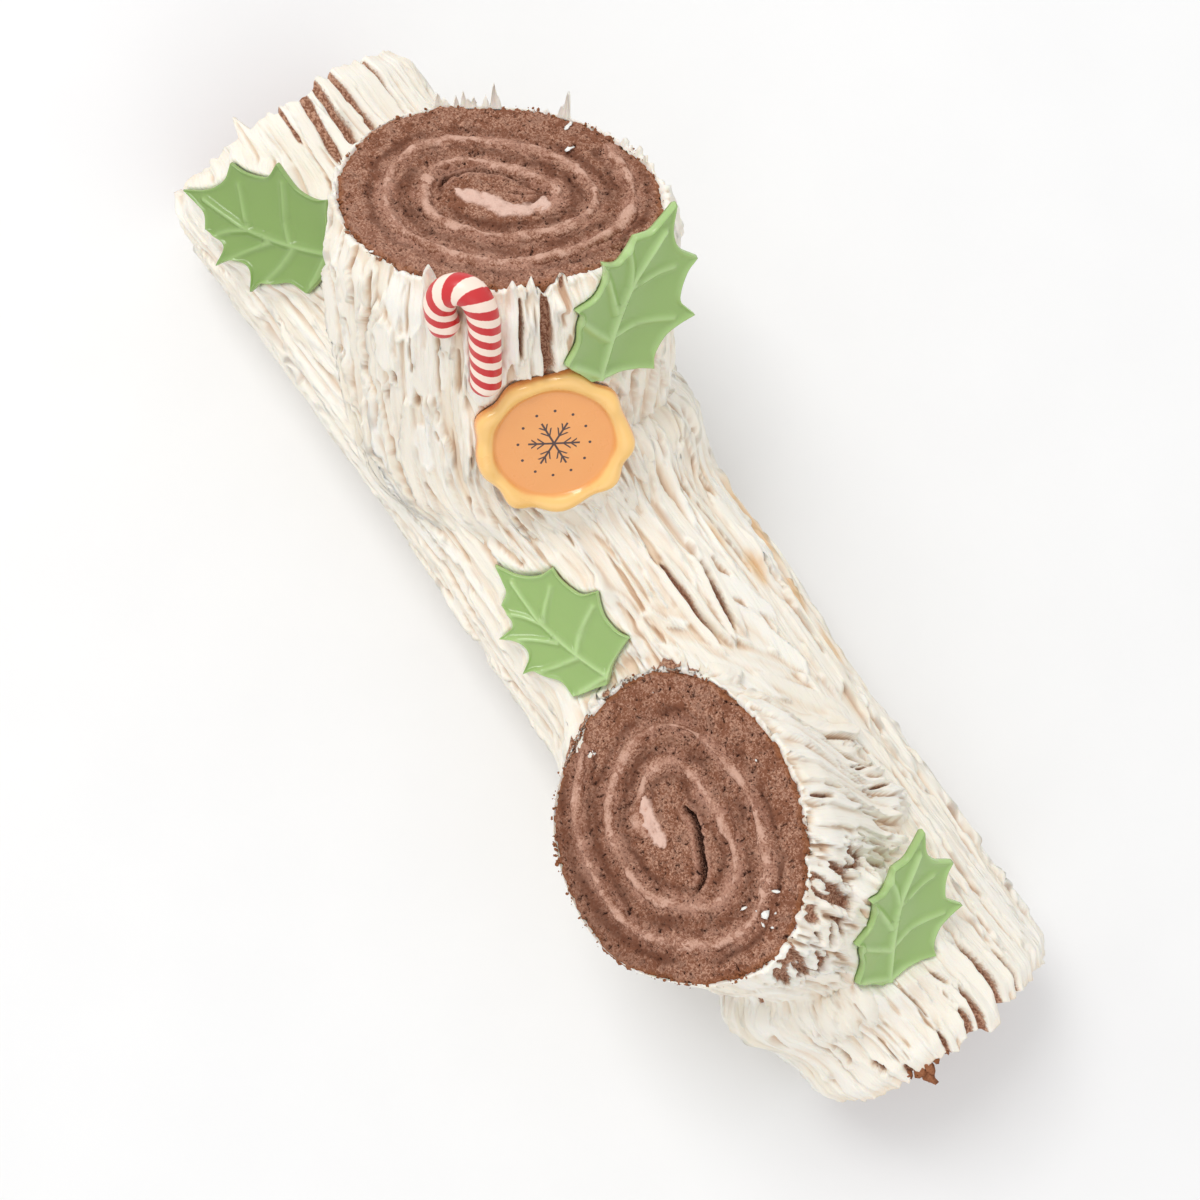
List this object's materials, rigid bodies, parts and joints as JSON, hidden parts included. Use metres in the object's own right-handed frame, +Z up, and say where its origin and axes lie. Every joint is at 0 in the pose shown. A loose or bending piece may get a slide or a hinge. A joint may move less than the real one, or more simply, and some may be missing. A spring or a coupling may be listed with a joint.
{
  "type": "yule log cake",
  "caption": "Long rolled sponge log under knifed cream icing, with round roll slices set on it like cut branches, holly leaves, a candy cane and a round wax-seal plaque.",
  "frame": {"origin": "middle of the log's flat underside, on the surface that the cake rests on", "axes": "+X along the log, from the end next to the tall slice to the other end; +Z up; +Y to the left when looking along +X"},
  "size_m": [0.3932, 0.1593, 0.1577],
  "materials": {
    "sponge": "open crumb, matte",
    "filling": "soft cream, satin",
    "icing": "knifed buttercream, satin",
    "leaf": "moulded sugar, glossy",
    "candy": "boiled sugar, glossy stripes",
    "seal": "pearl dusted sugar paste"
  },
  "bodies": {
    "root": {"log_sponge": "sponge", "log_filling": "filling", "stump_sponge": "sponge", "stump_filling": "filling", "branch_sponge": "sponge", "branch_filling": "filling", "icing": "icing", "holly_leaf_1": "leaf", "holly_leaf_2": "leaf", "holly_leaf_3": "leaf", "holly_leaf_4": "leaf", "candy_cane": "candy", "seal_plaque": "seal"}
  },
  "joints": []
}
